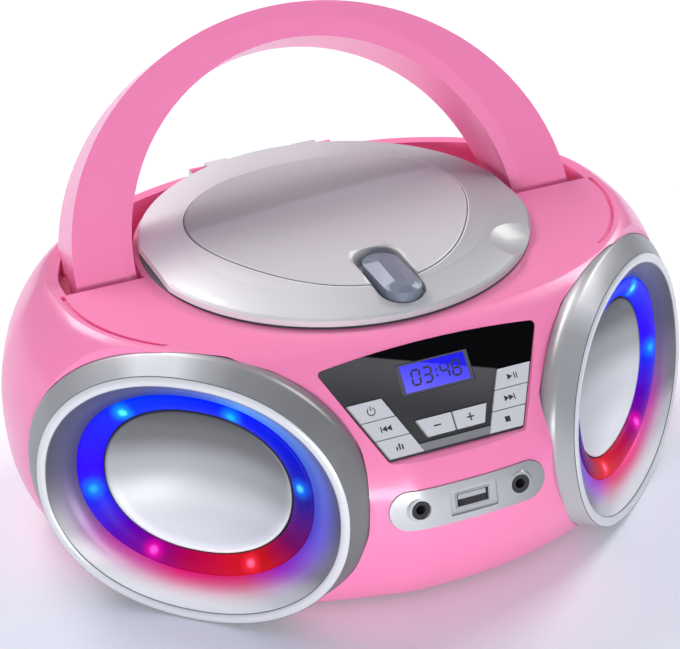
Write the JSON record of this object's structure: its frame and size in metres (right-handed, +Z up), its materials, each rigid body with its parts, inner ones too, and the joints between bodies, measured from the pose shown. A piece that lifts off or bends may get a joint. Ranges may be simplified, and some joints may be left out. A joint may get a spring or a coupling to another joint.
{
  "type": "portable disc radio",
  "caption": "Portable radio and disc player with a lift-up round lid, an arched carrying handle, lit oval speakers, a keyed display panel and front sockets.",
  "frame": {"origin": "middle of the footprint, on the table plane under the feet", "axes": "+X to the right seen from the front, -Y towards the front, +Z up"},
  "size_m": [0.2679, 0.2138, 0.1767],
  "materials": {
    "pink_shell": "glossy pink moulding",
    "silver_lid": "glossy light grey moulding",
    "window_grey": "glossy mid grey disc",
    "button_crystal": "faceted blue grey plastic",
    "silver_trim": "silver paint on plastic",
    "light_guide": "lit ring, blue to red",
    "cone_metal": "satin dished metal",
    "rubber": "soft black rubber",
    "black_plastic": "dull black plastic",
    "panel_black": "polished black panel",
    "screen_blue": "lit blue display",
    "key_grey": "satin light grey key",
    "steel": "plain steel",
    "bright_metal": "plated tube",
    "board_green": "circuit board",
    "magnet_iron": "pressed ferrite and plate",
    "white_plastic": "white gear plastic"
  },
  "bodies": {
    "cabinet": {"ac_inlet": "black_plastic", "audio_jacks": "black_plastic", "base_plate": "black_plastic", "battery_contacts": "steel", "case_screws": "steel", "disc_well": "black_plastic", "display_panel": "panel_black", "display_screen": "screen_blue", "drive_chassis": "black_plastic", "front_cabinet": "pink_shell", "guide_rails": "steel", "handle_pins": "steel", "key_board": "board_green", "key_trim": "silver_trim", "lid_hinge_pin": "steel", "light_board_left": "board_green", "light_board_right": "board_green", "light_ring_left": "light_guide", "light_ring_right": "light_guide", "main_board": "board_green", "rear_cabinet": "pink_shell", "rubber_feet": "rubber", "sled_motor": "steel", "socket_board": "board_green", "socket_panel": "silver_trim", "speaker_bezel_left": "silver_trim", "speaker_bezel_right": "silver_trim", "speaker_cone_left": "cone_metal", "speaker_cone_right": "cone_metal", "speaker_frame_left": "steel", "speaker_frame_right": "steel", "speaker_magnet_left": "magnet_iron", "speaker_magnet_right": "magnet_iron", "speaker_surround_left": "rubber", "speaker_surround_right": "rubber", "spindle_motor": "steel", "transformer": "steel", "usb_socket": "steel"},
    "battery_door": {"battery_door": "black_plastic"},
    "lid": {"lid": "silver_lid", "lid_window": "window_grey"},
    "open_button": {"open_button": "button_crystal"},
    "lid_catch": {"lid_catch": "white_plastic"},
    "handle": {"handle": "pink_shell"},
    "disc_platter": {"disc_platter": "black_plastic"},
    "pickup_sled": {"pickup_sled": "black_plastic"},
    "sled_gear": {"sled_gear": "white_plastic"},
    "motor_pinion": {"motor_pinion": "white_plastic"},
    "antenna_base": {"antenna_knuckle": "bright_metal"},
    "antenna_outer": {"antenna_tube_1": "bright_metal"},
    "antenna_middle": {"antenna_tube_2": "bright_metal"},
    "antenna_inner": {"antenna_tube_3": "bright_metal"},
    "key_mode": {"key_mode": "key_grey"},
    "key_next": {"key_next": "key_grey"},
    "key_play": {"key_play": "key_grey"},
    "key_power": {"key_power": "key_grey"},
    "key_previous": {"key_previous": "key_grey"},
    "key_stop": {"key_stop": "key_grey"},
    "key_volume_down": {"key_volume_down": "key_grey"},
    "key_volume_up": {"key_volume_up": "key_grey"}
  },
  "joints": [
    {"name": "lid_hinge", "type": "hinge", "parent": "cabinet", "child": "lid", "pos_m": [0, 0.09239, 0.0996], "axis": [-1, 0, 0], "range_deg": [0, 12]},
    {"name": "button_press", "type": "slide", "parent": "lid", "child": "open_button", "axis": [0, 0, -1], "range_m": [0, 0.0016], "stiffness_N_per_m": 400, "springref_m": -0.0005},
    {"name": "catch_slide", "type": "slide", "parent": "cabinet", "child": "lid_catch", "axis": [0, -1, 0], "range_m": [0, 0.0016], "stiffness_N_per_m": 200, "springref_m": -0.0005},
    {"name": "handle_fold", "type": "hinge", "parent": "cabinet", "child": "handle", "pos_m": [0, 0.02103, 0.09236], "axis": [1, 0, 0], "range_deg": [0, 31.4]},
    {"name": "battery_door_hinge", "type": "hinge", "parent": "cabinet", "child": "battery_door", "pos_m": [0, 0.02269, 0.0034], "axis": [-1, 0, 0], "range_deg": [0, 95]},
    {"name": "platter_spin", "type": "hinge", "parent": "cabinet", "child": "disc_platter", "pos_m": [0, 0.01539, 0.092], "axis": [0, 0, 1], "continuous": true},
    {"name": "sled_slide", "type": "slide", "parent": "cabinet", "child": "pickup_sled", "axis": [1, 0, 0], "range_m": [0, 0.03]},
    {"name": "gear_turn", "type": "hinge", "parent": "cabinet", "child": "sled_gear", "pos_m": [0.03, -0.01461, 0.0807], "axis": [0, 0, -1], "range_deg": [0, 245.6]},
    {"name": "pinion_turn", "type": "hinge", "parent": "cabinet", "child": "motor_pinion", "pos_m": [0.0185, -0.01461, 0.0807], "axis": [0, 0, 1], "range_deg": [0, 382]},
    {"name": "antenna_swivel", "type": "hinge", "parent": "cabinet", "child": "antenna_base", "pos_m": [0.058, 0.09999, 0.0684], "axis": [0, 1, 0], "range_deg": [0, 110]},
    {"name": "antenna_elbow", "type": "hinge", "parent": "antenna_base", "child": "antenna_outer", "pos_m": [0.058, 0.09999, 0.0684], "axis": [0, 0, -1], "range_deg": [0, 90]},
    {"name": "antenna_pull_middle", "type": "slide", "parent": "antenna_outer", "child": "antenna_middle", "axis": [-1, 0, 0], "range_m": [0, 0.09]},
    {"name": "antenna_pull_inner", "type": "slide", "parent": "antenna_middle", "child": "antenna_inner", "axis": [-1, 0, 0], "range_m": [0, 0.09]},
    {"name": "key_mode_press", "type": "slide", "parent": "cabinet", "child": "key_mode", "axis": [0, 0.7513, -0.66], "range_m": [0, 0.0008], "stiffness_N_per_m": 300, "springref_m": -0.0005},
    {"name": "key_next_press", "type": "slide", "parent": "cabinet", "child": "key_next", "axis": [0, 0.7513, -0.66], "range_m": [0, 0.0008], "stiffness_N_per_m": 300, "springref_m": -0.0005},
    {"name": "key_play_press", "type": "slide", "parent": "cabinet", "child": "key_play", "axis": [0, 0.7513, -0.66], "range_m": [0, 0.0008], "stiffness_N_per_m": 300, "springref_m": -0.0005},
    {"name": "key_power_press", "type": "slide", "parent": "cabinet", "child": "key_power", "axis": [0, 0.7513, -0.66], "range_m": [0, 0.0008], "stiffness_N_per_m": 300, "springref_m": -0.0005},
    {"name": "key_previous_press", "type": "slide", "parent": "cabinet", "child": "key_previous", "axis": [0, 0.7513, -0.66], "range_m": [0, 0.0008], "stiffness_N_per_m": 300, "springref_m": -0.0005},
    {"name": "key_stop_press", "type": "slide", "parent": "cabinet", "child": "key_stop", "axis": [0, 0.7513, -0.66], "range_m": [0, 0.0008], "stiffness_N_per_m": 300, "springref_m": -0.0005},
    {"name": "key_volume_down_press", "type": "slide", "parent": "cabinet", "child": "key_volume_down", "axis": [0, 0.7513, -0.66], "range_m": [0, 0.0008], "stiffness_N_per_m": 300, "springref_m": -0.0005},
    {"name": "key_volume_up_press", "type": "slide", "parent": "cabinet", "child": "key_volume_up", "axis": [0, 0.7513, -0.66], "range_m": [0, 0.0008], "stiffness_N_per_m": 300, "springref_m": -0.0005}
  ],
  "couplings": [
    {"joint": "catch_slide", "follows": "button_press", "ratio": 1},
    {"joint": "gear_turn", "follows": "sled_slide", "rad_per_m": 142.86},
    {"joint": "pinion_turn", "follows": "sled_slide", "rad_per_m": 222.22}
  ]
}
